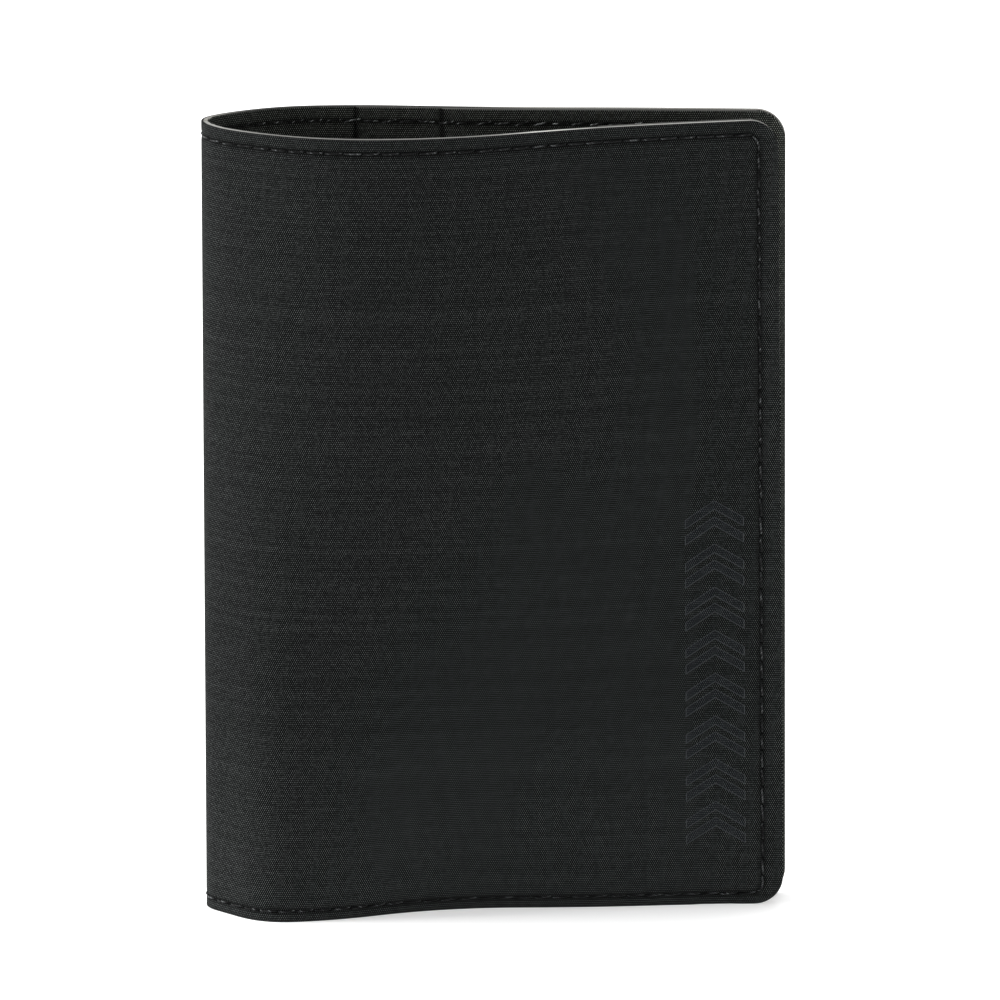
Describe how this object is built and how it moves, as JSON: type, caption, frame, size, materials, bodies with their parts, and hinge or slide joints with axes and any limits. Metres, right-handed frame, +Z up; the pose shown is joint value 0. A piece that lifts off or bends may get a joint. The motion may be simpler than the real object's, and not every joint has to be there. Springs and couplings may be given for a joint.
{
  "type": "passport holder wallet",
  "caption": "Book-style fabric passport cover with a soft rounded spine, sewn inner sleeves for the booklet and a card, and a stitched edge; it opens at two spine creases.",
  "frame": {"origin": "centre of the cover's box on the surface that it stands on", "axes": "+Z up along the spine, +X from the spine to the free edges, +Y from the front cover to the back cover"},
  "size_m": [0.1008, 0.0268, 0.14],
  "materials": {
    "outer_fabric": "black plain-weave polyester with a dull, dense face",
    "core_board": "light grey stiffener that shows at the raw cut edge",
    "lining_fabric": "black plain-weave lining",
    "sleeve_fabric": "black plain-weave sleeve cloth with raw edges",
    "sewing_thread": "black polyester thread with a slight gloss"
  },
  "bodies": {
    "back_cover": {"back_outer_panel": "outer_fabric", "back_core_board": "core_board", "back_lining": "lining_fabric", "back_sleeve": "sleeve_fabric", "back_card_pocket": "sleeve_fabric", "back_seam_needle_thread": "sewing_thread", "back_seam_bobbin_thread": "sewing_thread"},
    "spine": {"spine_outer_panel": "outer_fabric", "spine_core_board": "core_board", "spine_lining": "lining_fabric", "spine_top_seam_needle_thread": "sewing_thread", "spine_top_seam_bobbin_thread": "sewing_thread", "spine_bottom_seam_needle_thread": "sewing_thread", "spine_bottom_seam_bobbin_thread": "sewing_thread"},
    "front_cover": {"front_outer_panel": "outer_fabric", "front_core_board": "core_board", "front_lining": "lining_fabric", "front_sleeve": "sleeve_fabric", "front_seam_needle_thread": "sewing_thread", "front_seam_bobbin_thread": "sewing_thread"}
  },
  "joints": [
    {"name": "back_crease", "type": "hinge", "parent": "back_cover", "child": "spine", "pos_m": [-0.0447, 0.0092, 0], "axis": [0.0011, 0.0113, -0.9999], "range_deg": [0, 90]},
    {"name": "front_crease", "type": "hinge", "parent": "spine", "child": "front_cover", "pos_m": [-0.04353, -0.00434, 0], "axis": [0.0034, 0.0142, -0.9999], "range_deg": [0, 90]}
  ]
}
